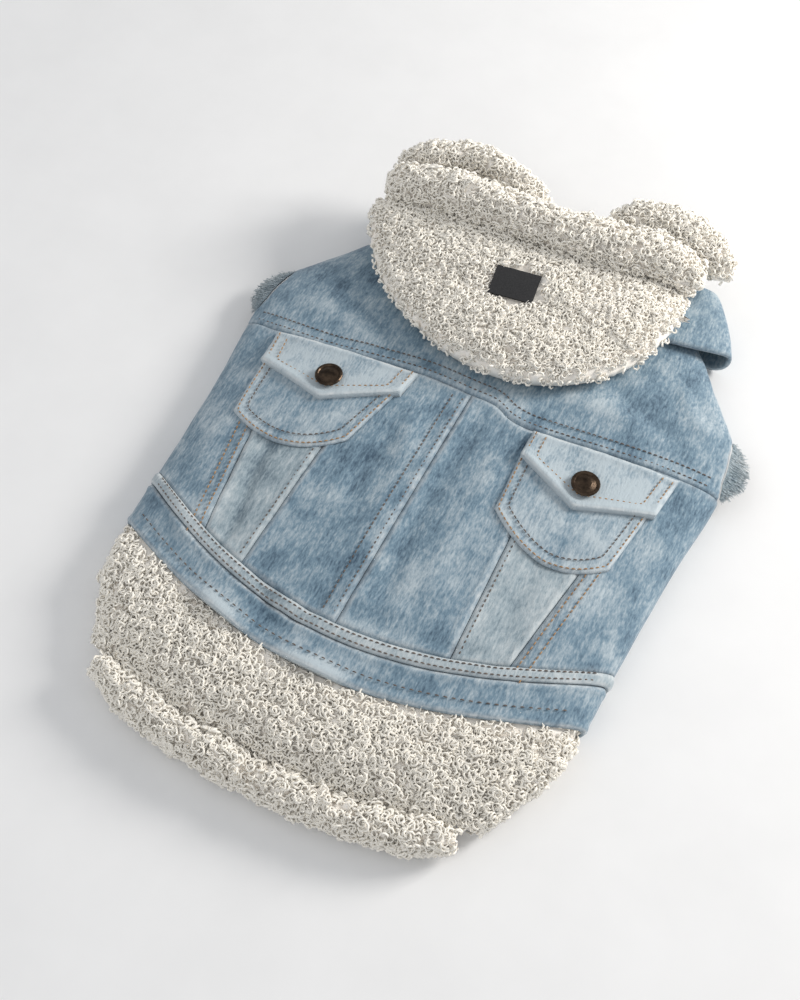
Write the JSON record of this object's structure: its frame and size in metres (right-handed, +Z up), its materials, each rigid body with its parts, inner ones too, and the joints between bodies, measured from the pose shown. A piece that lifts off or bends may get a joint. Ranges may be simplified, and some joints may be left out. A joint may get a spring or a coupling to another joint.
{
  "type": "dog jacket",
  "caption": "Dog jacket in washed blue denim with flap pockets, a fleece hood laid on its back and a fleece tail panel, lying flat.",
  "frame": {"origin": "centre of the bounding box's underside, where the belly lies flat", "axes": "+X towards the jacket's right side as laid, +Y towards the neck, +Z up from the surface it lies on"},
  "size_m": [0.2944, 0.3948, 0.064],
  "materials": {
    "denim": "matte",
    "denim_pale": "matte",
    "sherpa": "matte",
    "bronze": "satin",
    "label": "matte"
  },
  "bodies": {
    "root": {"back_left": "denim", "back_right": "denim", "wedge_left": "denim_pale", "wedge_right": "denim_pale", "side_left": "denim", "side_right": "denim", "yoke": "denim", "belly": "denim", "waist_strip": "denim", "waistband": "denim", "pocket_left": "denim", "pocket_right": "denim", "flap_left": "denim", "flap_right": "denim", "frill_left": "denim", "frill_right": "denim", "collar": "denim", "tail_panel": "sherpa", "hem_roll": "sherpa", "hood_under": "sherpa", "hood_crown": "sherpa", "hood_brim": "sherpa", "hood_lobe_left": "sherpa", "hood_lobe_right": "sherpa", "button_left": "bronze", "button_right": "bronze", "label": "label"}
  },
  "joints": []
}
